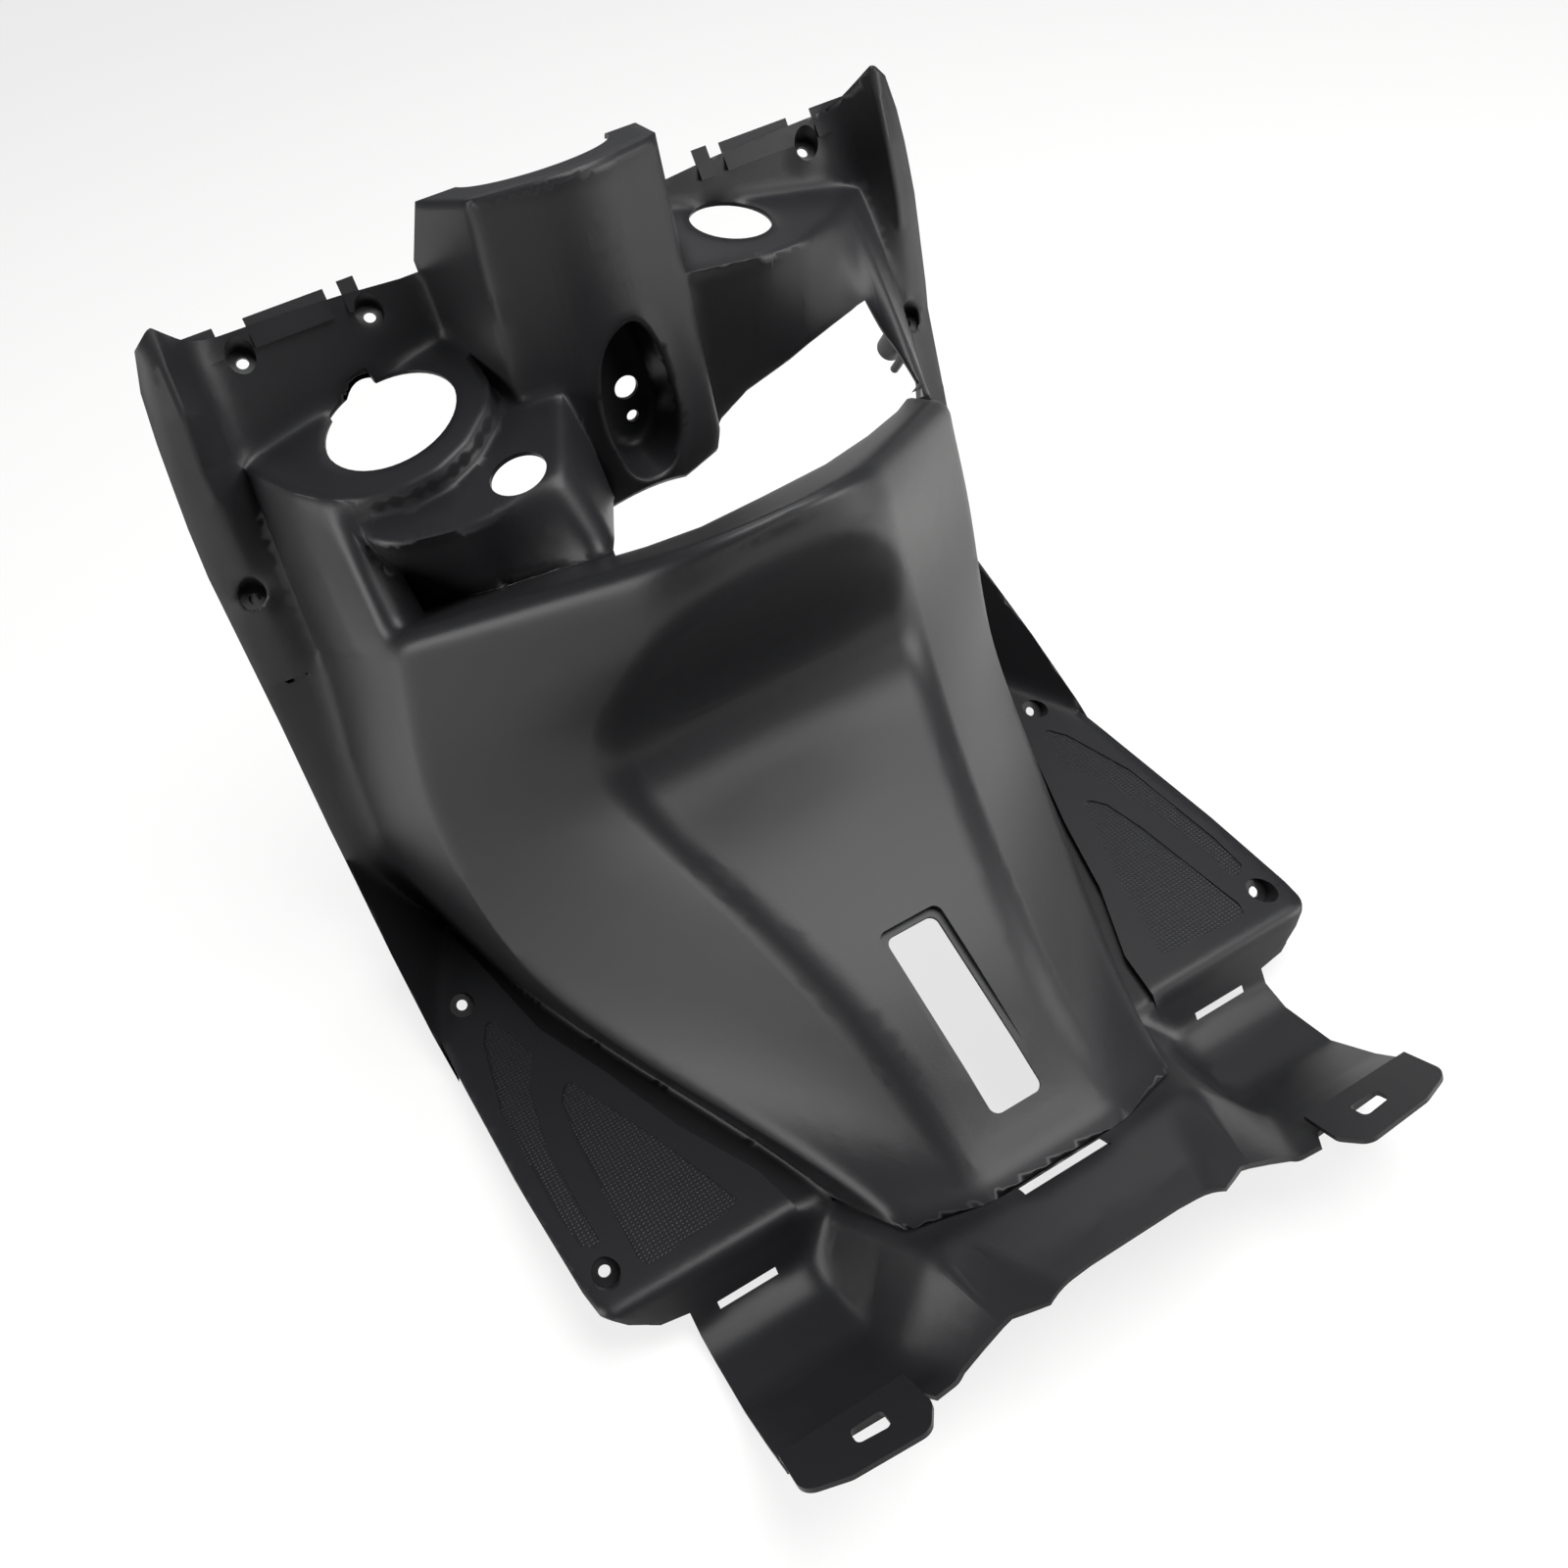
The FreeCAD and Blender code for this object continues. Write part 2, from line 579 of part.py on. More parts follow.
def right_flank(inset):
    """Carries the outer face of the right shelf down into the side of the bulge."""
    head = inset_polygon(RIGHT_FLANK_HEAD, inset)
    foot = inset_polygon(RIGHT_FLANK_FOOT, inset)
    reach = 4.0 * (inset > 0)
    wires = [Part.makePolygon([Vector(x, w, h) for x, w in ring + ring[:1]])
             for ring, h in ((foot, RIGHT_FLANK_BOTTOM - reach), (head, SHELF_FOOT_HEIGHT + 1.0 + reach))]
    return loft(wires, True)


def above_platform(drop, reach):
    """Everything above the tread plane lowered by `drop`, as far back as `reach`."""
    return side_profile([(0.0, -drop), (0.0, HIGH), (reach, HIGH), (reach, PLATFORM_SLOPE * reach - drop)])


def gusset(inset):
    """Slanting face that leads the edge of the leg shield down to the edge of a platform."""
    inner, foot, head = [Vector(*corner) for corner in GUSSET_CORNERS]
    normal = (foot - inner).cross(head - inner).normalize()
    if normal.y > 0:
        normal = normal * -1.0
    corners = []
    for x, h in ((180.0, -40.0), (SIDE, -40.0), (SIDE, GUSSET_TOP), (180.0, GUSSET_TOP)):
        w = inner.y - (inset + normal.x * (x - inner.x) + normal.z * (h - inner.z)) / normal.y
        corners.append(Vector(x, w, h))
    body = Part.Face(Part.makePolygon(corners + corners[:1])).extrude(Vector(0, 200.0, 0))
    if inset:
        body = body.common(above_platform(PLATFORM_RIM + 6.0, BACK + HOLLOW_REACH))
    else:
        body = body.common(above_platform(PLATFORM_RIM, BACK))
    return body.fuse(body.mirror(Vector(0, 0, 0), Vector(1, 0, 0)))


def whole(inset):
    bodies = [bulge(inset), lip(inset), shield_top(inset), skirt(inset), groove(inset),
              platform(True, inset), platform(False, inset), plate_1(inset), shelf_2(inset),
              shelf_3(inset), left_flank(inset), right_flank(inset), gusset(inset)]
    return turned(bodies[0].multiFuse(bodies[1:]))


def draw_prism(points, start, length):
    """Prism along the draw direction from an outline given as (across, up)."""
    wire = Part.makePolygon([Vector(x, start, z) for x, z in list(points) + [points[0]]])
    return Part.Face(wire).extrude(Vector(0, length, 0))


def outline_prism():
    right = list(OUTLINE_TOP) + list(OUTLINE_EDGE) + list(OUTLINE_BOTTOM)
    left = [(-x, z) for x, z in reversed(right)]
    return draw_prism(right + left, DRAW_START, DRAW_LENGTH)


def both_sides(shape):
    return [shape, shape.mirror(Vector(0, 0, 0), Vector(1, 0, 0))]


def screw_cups():
    cups = []
    for x, y, z in SCREWS:
        base = Vector(x, y + CUP_WALL, z)
        cups.append(Part.makeCylinder(SCREW_HEAD_R + CUP_WALL, CUP_LENGTH, base, TOWARD_RIDER))
    return cups


def rear_posts():
    """Screw posts and locating pins behind the two side screws."""
    posts = []
    for x, y, z, radius, tip in REAR_POSTS:
        posts.append(Part.makeCylinder(radius, tip - y, Vector(x, y, z), Vector(0, 1, 0)))
    return posts


def screw_holes():
    holes = []
    for x, y, z in SCREWS:
        holes.append(Part.makeCylinder(SCREW_HEAD_R, 2 * CUP_LENGTH, Vector(x, y, z), TOWARD_RIDER))
        behind = Vector(x, y + CUP_LENGTH, z)
        holes.append(Part.makeCylinder(SCREW_HOLE_R, 2 * CUP_LENGTH, behind, TOWARD_RIDER))
    return holes


def pocket_ring(grow, depth):
    """Egg-shaped outline of the pocket at one depth; it narrows toward its floor."""
    narrow = POCKET_DRAFT * max(depth - POCKET_MOUTH, 0.0)
    curve = Part.BSplineCurve()
    points = inset_polygon(POCKET_OUTLINE, narrow - grow)
    curve.interpolate([column_at(along)((x, depth)) for x, along in points], PeriodicFlag=True)
    return Part.Wire([curve.toShape()])


def pocket_body(grow, front, back):
    return loft([pocket_ring(grow, front), pocket_ring(grow, POCKET_MOUTH), pocket_ring(grow, back)], True)


def column_bore(along, radius):
    start = column_at(along)((LOCK_X, POCKET_FLOOR - 12.0))
    way = column_at(along)((LOCK_X, POCKET_FLOOR + 12.0)) - start
    return Part.makeCylinder(radius, 24.0, start, way)


def plate_hole(hole, yaw):
    x, w, h, radius = hole
    n = plate_normal(yaw)
    return Part.makeCylinder(radius, HOLE_CUT_LENGTH, Vector(x, w, h) - n * (HOLE_CUT_LENGTH / 2.0), n)


def key_notch():
    """Small step in the rim of the large left hole that keys what is fitted there."""
    x, w, h, radius = HOLE_1
    n = plate_normal(-PLATE_YAW)
    out = Vector(-math.sin(KEY_TURN), 0, 0) + n.cross(Vector(1, 0, 0)).normalize() * math.cos(KEY_TURN)
    out = (out - n * out.dot(n)).normalize()
    side = n.cross(out)
    base = Vector(x, w, h) - n * (HOLE_CUT_LENGTH / 2.0)
    reach = radius + KEY_DEPTH
    points = [base - side * KEY_HALF_WIDTH, base + side * KEY_HALF_WIDTH,
              base + side * KEY_HALF_WIDTH + out * reach, base - side * KEY_HALF_WIDTH + out * reach]
    ring = Part.makeCylinder(reach, HOLE_CUT_LENGTH, base, n)
    return Part.Face(Part.makePolygon(points + points[:1])).extrude(n * HOLE_CUT_LENGTH).common(ring)


def window_prism(half_width, margin, low, high):
    """Rounded prism square to the front facet, between two depths from its surface."""
    top = Vector(0, *WINDOW_TOP)
    foot = Vector(0, *WINDOW_FOOT)
    down = (foot - top).normalize()
    out = Vector(1, 0, 0).cross(down).normalize()
    if out.y > 0:
        out = out * -1.0
    top = top - down * margin + out * low
    foot = foot + down * margin + out * low
    across = Vector(half_width, 0, 0)
    points = [top - across, top + across, foot + across, foot - across]
    return Part.Face(rounded_wire(points, [WINDOW_R] * 4)).extrude(out * (high - low))


def pad_prism(points, right):
    side = 1.0 if right else -1.0
    place = [Vector(side * x, w, PLATFORM_SLOPE * w - PAD_DEPTH) for x, w in points]
    return Part.Face(rounded_wire(place, [4.0] * len(points))).extrude(Vector(0, 0, 12.0))


def hook():
    """Tongue that slides under the floor board, with its slot."""
    radii = [0.0, 0.0, 8.0, 8.0, 10.0, 10.0]
    plate = prism_along(HOOK_PLAN, flat_at(HOOK_HEIGHT), radii, Vector(0, 0, -WALL))
    slot = prism_along(HOOK_SLOT, flat_at(HOOK_HEIGHT + 5.0), [3.0] * 4, Vector(0, 0, -20.0))
    return plate.cut(slot)


def top_tab(x0, x1, rise):
    back = shield_forward(OUTLINE_TOP_HEIGHT) + 1.2
    return Part.makeBox(x1 - x0, 1.4, rise + 12.0, Vector(x0, back, OUTLINE_TOP_HEIGHT - 12.0))


def below_rim():
    """Room under the far end of the platforms, where the shield has ended."""
    far = BACK + 60.0
    slope = PLATFORM_SLOPE
    return side_profile([(BELOW_FROM, slope * BELOW_FROM - PLATFORM_RIM), (BELOW_FROM, DEEP), (far, DEEP),
                         (far, slope * far - PLATFORM_RIM)])


def main():
    outer = whole(0.0).common(outline_prism()).fuse(turned(column(0.0)))
    inner = whole(WALL).fuse(turned(column(WALL)))
    skin = outer.cut(inner).cut(turned(below_rim()))

    added = screw_cups()
    added.append(turned(pocket_body(WALL, 262.0, POCKET_FLOOR + WALL)))
    added.append(turned(window_prism(WINDOW_HALF_WIDTH + 2.5, 2.5, -WINDOW_RECESS - 2.2, -0.6)))
    inside = [shape.common(outer) for shape in added]
    loose = rear_posts()
    loose += both_sides(turned(hook()))
    for x0, x1, rise in TOP_TABS:
        loose += both_sides(turned(top_tab(x0, x1, rise)))
    panel = skin.multiFuse(inside + loose)

    cuts = screw_holes()
    cuts.append(draw_prism(OPENING, DRAW_START, DRAW_LENGTH))
    cuts.append(turned(pocket_body(0.0, 200.0, POCKET_FLOOR)))
    cuts.append(turned(column_bore(LOCK_HOLE_ALONG, LOCK_HOLE_R)))
    cuts.append(turned(column_bore(LOCK_PIN_ALONG, LOCK_PIN_R)))
    cuts.append(turned(plate_hole(HOLE_1, -PLATE_YAW)))
    cuts.append(turned(key_notch()))
    cuts.append(turned(plate_hole(HOLE_2, -PLATE_YAW)))
    cuts.append(turned(plate_hole(HOLE_3, PLATE_YAW)))
    cuts.append(turned(Part.makeCylinder(STEM_CUT_R, 90.0, Vector(STEM_CUT_AT[0], STEM_CUT_AT[1], 470.0))))
    cuts.append(turned(window_prism(WINDOW_HALF_WIDTH, 0.0, -WINDOW_RECESS, 12.0)))
    cuts.append(turned(window_prism(WINDOW_HALF_WIDTH - WINDOW_FRAME, -WINDOW_FRAME, -20.0, 12.0)))
    cuts.append(Part.makeBox(2 * SLOT_HALF_WIDTH, 60.0, SLOT_UP[1] - SLOT_UP[0],
                             Vector(-SLOT_HALF_WIDTH, -110.0, SLOT_UP[0])))
    slot = Part.makeBox(SIDE_SLOT_X[1] - SIDE_SLOT_X[0], 40.0, SIDE_SLOT_UP[1] - SIDE_SLOT_UP[0],
                        Vector(SIDE_SLOT_X[0], -20.0, SIDE_SLOT_UP[0]))
    cuts += both_sides(slot)
    for right in (True, False):
        cuts.append(turned(pad_prism(OUTER_PAD, right)))
        cuts.append(turned(pad_prism(INNER_PAD, right)))
    panel = panel.cut(cuts)
    panel = max(panel.Solids, key=lambda solid: solid.Volume)
    panel.translate(Vector(0, -ORIGIN_DEPTH, 0))
    print("volume", round(panel.Volume), "valid", panel.isValid())
    os.makedirs("parts", exist_ok=True)
    panel.exportStep("parts/inner_panel.step")


main()
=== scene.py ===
import math

import bmesh
import bpy
import numpy as np
from mathutils import Matrix, Vector
from mathutils.kdtree import KDTree


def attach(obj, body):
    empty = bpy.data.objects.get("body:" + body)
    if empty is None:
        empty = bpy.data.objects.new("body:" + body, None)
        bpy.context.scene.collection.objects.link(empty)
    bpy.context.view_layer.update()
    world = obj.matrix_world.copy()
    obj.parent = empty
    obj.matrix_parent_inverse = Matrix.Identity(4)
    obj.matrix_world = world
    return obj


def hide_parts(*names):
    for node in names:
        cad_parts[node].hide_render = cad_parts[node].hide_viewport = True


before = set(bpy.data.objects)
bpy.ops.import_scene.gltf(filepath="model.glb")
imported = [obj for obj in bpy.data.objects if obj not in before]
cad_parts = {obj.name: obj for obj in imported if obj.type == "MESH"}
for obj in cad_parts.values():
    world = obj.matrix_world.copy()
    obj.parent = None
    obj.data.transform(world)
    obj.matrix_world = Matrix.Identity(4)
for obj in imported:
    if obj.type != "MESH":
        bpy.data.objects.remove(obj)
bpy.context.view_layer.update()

scene = bpy.context.scene


def toLinear(hexColour):
    # sRGB hex to the linear colour a shader wants
    channels = [int(hexColour[i:i + 2], 16) / 255 for i in (1, 3, 5)]
    linear = [c / 12.92 if c <= 0.04045 else ((c + 0.055) / 1.055) ** 2.4 for c in channels]
    return (*linear, 1.0)


def addNode(tree, kind, links=(), **settings):
    # One node with its settings; names that match an input set that input, links are (input, source socket)
    node = tree.nodes.new(kind)
    for name, value in settings.items():
        if name in node.inputs:
            node.inputs[name].default_value = value
        else:
            setattr(node, name, value)
    for target, source in links:
        tree.links.new(source, node.inputs[target])
    return node


# Plastic: injection-moulded black polypropylene, satin with a fine spark-eroded grain
plastic = {
    "colour": "#1b1b1d",
    "roughness": 0.42,
    "grainWidth": 0.0011,      # metres; the real grain is about 0.3 mm, drawn coarser so that it shows
    "grainDepth": 0.00004,
    "grainDetail": 2.0,
    "grainRoughness": 0.6,
    "specular": 0.32,
}


def mouldedBlackPolypropylene():
    material = bpy.data.materials.new("mouldedBlackPolypropylene")
    material.use_nodes = True
    tree = material.node_tree
    tree.nodes.clear()
    place = addNode(tree, "ShaderNodeTexCoord")
    grain = addNode(tree, "ShaderNodeTexNoise", [("Vector", place.outputs["Object"])],
                    Scale=1.0 / plastic["grainWidth"], Detail=plastic["grainDetail"],
                    Roughness=plastic["grainRoughness"])
    bump = addNode(tree, "ShaderNodeBump", [("Height", grain.outputs["Fac"])],
                   Strength=1.0, Distance=plastic["grainDepth"])
    surface = addNode(tree, "ShaderNodeBsdfPrincipled", [("Normal", bump.outputs["Normal"])],
                      Roughness=plastic["roughness"])
    surface.inputs["Base Color"].default_value = toLinear(plastic["colour"])
    surface.inputs["Specular IOR Level"].default_value = plastic["specular"]
    addNode(tree, "ShaderNodeOutputMaterial", [("Surface", surface.outputs["BSDF"])])
    return material


# Panel: the moulding itself, taken from the solid and shaded with the soft folds of a real moulding
panel = {
    "mergeWithin": 0.00001,
    "flatAngle": 0.4,          # degrees; facets closer than this to one plane are joined
    "crispAngle": 42.0,        # degrees; folds sharper than this part one face of the moulding from the next
    "foldAngle": 14.0,         # degrees; softer folds than this count as flat
    "crispWidth": 0.006,       # metres; narrower faces, such as wall edges and steps, stay crisp
    "crispArea": 0.0007,       # square metres; so do smaller ones, such as screw cups
    "wallTurn": 66.0,          # degrees; both only where they stand about square to their neighbours
    "foldReach": 0.010,        # metres; shading is soft this far from a fold
    "fineEdge": 0.0076,        # longest edge beside a fold
    "coarseEdge": 0.06,        # longest edge far from one
    "edgeGrowth": 0.8,         # growth of the longest edge per metre away from the fold's reach
    "splitRounds": 8,
    "otherSide": -0.35,        # cosine; what faces further away than this is the wall's other side
    "sideBlend": 0.6,          # the range of cosine above it in which a face gains its full weight
    "softRadius": 0.0042,      # spread of the average that rounds the folds
    "averageReach": 2.6,       # the average's reach, in spreads
    "leastLength": 1e-12,
}


def joinFacets(shape):
    bmesh.ops.remove_doubles(shape, verts=shape.verts, dist=panel["mergeWithin"])
    bmesh.ops.dissolve_limit(shape, angle_limit=math.radians(panel["flatAngle"]), verts=shape.verts,
                             edges=shape.edges)
    bmesh.ops.triangulate(shape, faces=shape.faces)


def spread(shape, numberOf, passes):
    # Numbers each face by the patch it belongs to; passes(edge) tells where a patch runs on
    count = 0
    for start in shape.faces:
        if numberOf[start.index] != -1:
            continue
        numberOf[start.index] = count
        front = [start]
        while front:
            face = front.pop()
            for edge in face.edges:
                if len(edge.link_faces) != 2 or not passes(edge):
                    continue
                for other in edge.link_faces:
                    if numberOf[other.index] == -1:
                        numberOf[other.index] = count
                        front.append(other)
        count += 1
    return count


def findPatches(shape):
    # Each face's patch, which sharp edges bound, and its skin, which joins patches that touch.
    # Narrow and small patches that stay crisp are on no skin and have -2 there.
    shape.faces.index_update()
    shape.faces.ensure_lookup_table()
    limit = math.radians(panel["crispAngle"])
    patchOf = [-1] * len(shape.faces)
    count = spread(shape, patchOf, lambda edge: edge.calc_face_angle(0.0) < limit)
    area = [0.0] * count
    border = [0.0] * count
    turn = [0.0] * count
    for face in shape.faces:
        patch = patchOf[face.index]
        area[patch] += face.calc_area()
        for edge in face.edges:
            angle = edge.calc_face_angle(math.pi / 2)
            if angle >= limit:
                border[patch] += edge.calc_length()
                turn[patch] += edge.calc_length() * angle
    wallTurn = math.radians(panel["wallTurn"])
    crisp = [turn[p] > wallTurn * border[p]
             and (area[p] < panel["crispArea"] or 2 * area[p] < panel["crispWidth"] * border[p])
             for p in range(count)]
    skinOf = [-2 if crisp[p] else -1 for p in patchOf]
    spread(shape, skinOf, lambda edge: all(skinOf[face.index] != -2 for face in edge.link_faces))
    return patchOf, skinOf


def foldPoints(shape, skin):
    # Points along the folds of the soft skins
    least = math.radians(panel["foldAngle"])
    points = []
    for edge in shape.edges:
        if len(edge.link_faces) != 2 or edge.calc_face_angle(0.0) < least:
            continue
        if any(face[skin] < 0 for face in edge.link_faces):
            continue
        a, b = (vert.co for vert in edge.verts)
        steps = max(1, round((b - a).length / panel["fineEdge"]))
        points += [a.lerp(b, i / steps) for i in range(steps + 1)]
    return points


def makeTree(points):
    tree = KDTree(len(points))
    for index, point in enumerate(points):
        tree.insert(point, index)
    tree.balance()
    return tree


def refine(shape, skin, folds):
    # Splits long edges until the faces near folds are fine enough to bend
    for _ in range(panel["splitRounds"]):
        long = []
        for edge in shape.edges:
            length = edge.calc_length()
            if length < panel["fineEdge"] or all(face[skin] < 0 for face in edge.link_faces):
                continue
            a, b = (vert.co for vert in edge.verts)
            away = min(folds.find(p)[2] for p in (a, a.lerp(b, 0.5), b))
            wanted = min(panel["coarseEdge"], (away - panel["foldReach"]) * panel["edgeGrowth"])
            if length > max(panel["fineEdge"], wanted):
                long.append(edge)
        if not long:
            break
        bmesh.ops.subdivide_edges(shape, edges=long, cuts=1)
        bmesh.ops.triangulate(shape, faces=[face for face in shape.faces if len(face.verts) > 3])


def dropFlatPairs(shape):
    # Splitting can leave flat faces back to back on the same points; both of a pair go
    onPoints = {}
    for face in shape.faces:
        onPoints.setdefault(frozenset(face.verts), []).append(face)
    spare = []
    for faces in onPoints.values():
        spare += faces[:len(faces) - len(faces) % 2]
    bmesh.ops.delete(shape, geom=spare, context="FACES")


def softened(shape, skin, folds):
    # Average normal of the skin around each point near a fold, by (point, skin)
    samples = {}
    for face in shape.faces:
        if face[skin] >= 0:
            sample = (face.calc_center_median(), face.normal.copy(), face.calc_area())
            samples.setdefault(face[skin], []).append(sample)
    reach = panel["averageReach"] * panel["softRadius"]
    normals = {}
    trees = {}
    for number, found in samples.items():
        ways = np.array([normal for _, normal, _ in found])
        areas = np.array([area for _, _, area in found])
        trees[number] = (makeTree([centre for centre, _, _ in found]), ways, areas)
    for vert in shape.verts:
        if folds.find(vert.co)[2] > panel["foldReach"]:
            continue
        for number in {face[skin] for face in vert.link_faces if face[skin] >= 0}:
            tree, ways, areas = trees[number]
            hits = tree.find_range(vert.co, reach)
            if not hits:
                continue
            own = Vector()
            for face in vert.link_faces:
                if face[skin] == number:
                    own += face.normal
            picked = np.array([hit[1] for hit in hits])
            spreads = np.array([hit[2] for hit in hits]) / panel["softRadius"]
            weights = areas[picked] * np.exp(-0.5 * spreads ** 2)
            alike = ways[picked] @ np.array(own.normalized())
            weights *= np.clip((alike - panel["otherSide"]) / panel["sideBlend"], 0.0, 1.0)
            mean = weights @ ways[picked]
            size = np.linalg.norm(mean)
            if size > panel["leastLength"]:
                normals[vert.index, number] = Vector(mean / size)
    return normals


def cornerNormals(shape, skin, patch, soft):
    # Soft normals near folds, and elsewhere the mean over the faces of the same patch
    listed = []
    for face in shape.faces:
        for vert in face.verts:
            normal = soft.get((vert.index, face[skin]))
            if normal is None:
                normal = Vector()
                for other in vert.link_faces:
                    if other[patch] == face[patch]:
                        normal += other.normal * other.calc_area()
                normal = normal.normalized() if normal.length > 0 else face.normal.copy()
            listed.append(normal)
    return listed


def treadFloors(shape, skin):
    # The flat floors of the tread pads: skins of their size that lie square to the tread's normal
    normal = slopeNormal()
    bySkin = {}
    for face in shape.faces:
        if face[skin] >= 0:
            bySkin.setdefault(face[skin], []).append(face)
    low, high = tread["floorAreas"]
    corners = []
    triangles = []
    for faces in bySkin.values():
        if not low < sum(face.calc_area() for face in faces) < high:
            continue
        if min(face.normal.dot(normal) for face in faces) < tread["flatness"]:
            continue
        for face in faces:
            triangles.append([len(corners) + i for i in range(len(face.verts))])
            corners += [tuple(vert.co) for vert in face.verts]
    mesh = bpy.data.meshes.new("treadFloors")
    mesh.from_pydata(corners, [], triangles)
    print("tread floors:", len(triangles), "faces")
    return mesh


def makePanel():
    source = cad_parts["inner_panel"]
    mesh = source.data.copy()
    mesh.name = "panelShell"
    shape = bmesh.new()
    shape.from_mesh(mesh)
    joinFacets(shape)
    skin = shape.faces.layers.int.new("skin")
    patch = shape.faces.layers.int.new("patch")
    patchOf, skinOf = findPatches(shape)
    for face in shape.faces:
        face[skin] = skinOf[face.index]
        face[patch] = patchOf[face.index]
        face.smooth = True
    floors = treadFloors(shape, skin)
    folds = makeTree(foldPoints(shape, skin))
    refine(shape, skin, folds)
    dropFlatPairs(shape)
    shape.verts.index_update()
    shape.normal_update()
    soft = softened(shape, skin, folds)
    normals = cornerNormals(shape, skin, patch, soft)
    shape.to_mesh(mesh)
    shape.free()
    mesh.normals_split_custom_set(normals)
    piece = bpy.data.objects.new("panelShell", mesh)
    scene.collection.objects.link(piece)
    mesh.materials.clear()
    mesh.materials.append(mouldedBlackPolypropylene())
    return piece, floors


# Tread: the fine knurl that covers the sunk pads
tread = {
    "tilt": 44.75,             # degrees about X from level, the slope of the platforms
    "flatness": 0.999,         # least cosine between a floor's faces and the slope
    "floorAreas": (0.0015, 0.008),
    "middle": (0.0, 0.07, 0.075),
    "across": 0.47,            # metres; the grid covers all four pads
    "along": 0.28,
    "above": 0.02,             # its height over the slope before it is dropped
    "rayLength": 0.05,
    "pitch": 0.0024,
    "knobSides": 4,
    "knobRadius": 0.00115,
    "knobHeight": 0.00032,
}


def slopeNormal():
    # The way that the tread faces
    turn = math.radians(tread["tilt"])
    return Vector((0.0, -math.sin(turn), math.cos(turn)))


def enabled(sockets, name):
    # The one socket of that name that the node's settings switch on
    return next(socket for socket in sockets if socket.name == name and socket.enabled)


def knurlNodes():
    # A grid above the slope is dropped on the pad floors, and each point that lands there gets a knob
    tree = bpy.data.node_groups.new("treadKnurl", "GeometryNodeTree")
    sockets = tree.interface
    sockets.new_socket("Geometry", in_out="INPUT", socket_type="NodeSocketGeometry")
    for name in ("pitch", "knobRadius", "knobHeight"):
        number = sockets.new_socket(name, in_out="INPUT", socket_type="NodeSocketFloat")
        number.default_value = tread[name]
    sockets.new_socket("finish", in_out="INPUT", socket_type="NodeSocketMaterial")
    sockets.new_socket("Geometry", in_out="OUTPUT", socket_type="NodeSocketGeometry")
    given = addNode(tree, "NodeGroupInput").outputs
    turn = (math.radians(tread["tilt"]), 0.0, 0.0)
    normal = slopeNormal()
    columns = addNode(tree, "ShaderNodeMath", [(1, given["pitch"])], operation="DIVIDE")
    columns.inputs[0].default_value = tread["across"]
    rows = addNode(tree, "ShaderNodeMath", [(1, given["pitch"])], operation="DIVIDE")
    rows.inputs[0].default_value = tread["along"]
    grid = addNode(tree, "GeometryNodeMeshGrid",
                   [("Vertices X", columns.outputs[0]), ("Vertices Y", rows.outputs[0])])
    grid.inputs["Size X"].default_value = tread["across"]
    grid.inputs["Size Y"].default_value = tread["along"]
    laid = addNode(tree, "GeometryNodeTransform", [("Geometry", grid.outputs["Mesh"])])
    laid.inputs["Translation"].default_value = Vector(tread["middle"]) + normal * tread["above"]
    laid.inputs["Rotation"].default_value = turn
    cast = addNode(tree, "GeometryNodeRaycast", [("Target Geometry", given["Geometry"])])
    cast.inputs["Ray Direction"].default_value = -normal
    cast.inputs["Ray Length"].default_value = tread["rayLength"]
    missed = addNode(tree, "FunctionNodeBooleanMath", [(0, cast.outputs["Is Hit"])], operation="NOT")
    stored = addNode(tree, "GeometryNodeStoreNamedAttribute", [("Geometry", laid.outputs["Geometry"])],
                     data_type="BOOLEAN", domain="POINT")
    stored.inputs["Name"].default_value = "missed"
    tree.links.new(missed.outputs[0], enabled(stored.inputs, "Value"))
    dropped = addNode(tree, "GeometryNodeSetPosition",
                      [("Geometry", stored.outputs["Geometry"]), ("Position", cast.outputs["Hit Position"]),
                       ("Selection", cast.outputs["Is Hit"])])
    flag = addNode(tree, "GeometryNodeInputNamedAttribute", data_type="BOOLEAN")
    flag.inputs["Name"].default_value = "missed"
    chosen = enabled(flag.outputs, "Attribute")
    kept = addNode(tree, "GeometryNodeDeleteGeometry",
                   [("Geometry", dropped.outputs["Geometry"]), ("Selection", chosen)], domain="POINT")
    knob = addNode(tree, "GeometryNodeMeshCone",
                   [("Radius Bottom", given["knobRadius"]), ("Depth", given["knobHeight"])],
                   fill_type="NONE")
    knob.inputs["Vertices"].default_value = tread["knobSides"]
    knob.inputs["Radius Top"].default_value = 0.0
    placed = addNode(tree, "GeometryNodeInstanceOnPoints",
                     [("Points", kept.outputs["Geometry"]), ("Instance", knob.outputs["Mesh"])])
    placed.inputs["Rotation"].default_value = turn
    real = addNode(tree, "GeometryNodeRealizeInstances", [("Geometry", placed.outputs["Instances"])])
    painted = addNode(tree, "GeometryNodeSetMaterial",
                      [("Geometry", real.outputs["Geometry"]), ("Material", given["finish"])])
    addNode(tree, "NodeGroupOutput", [("Geometry", painted.outputs["Geometry"])])
    return tree


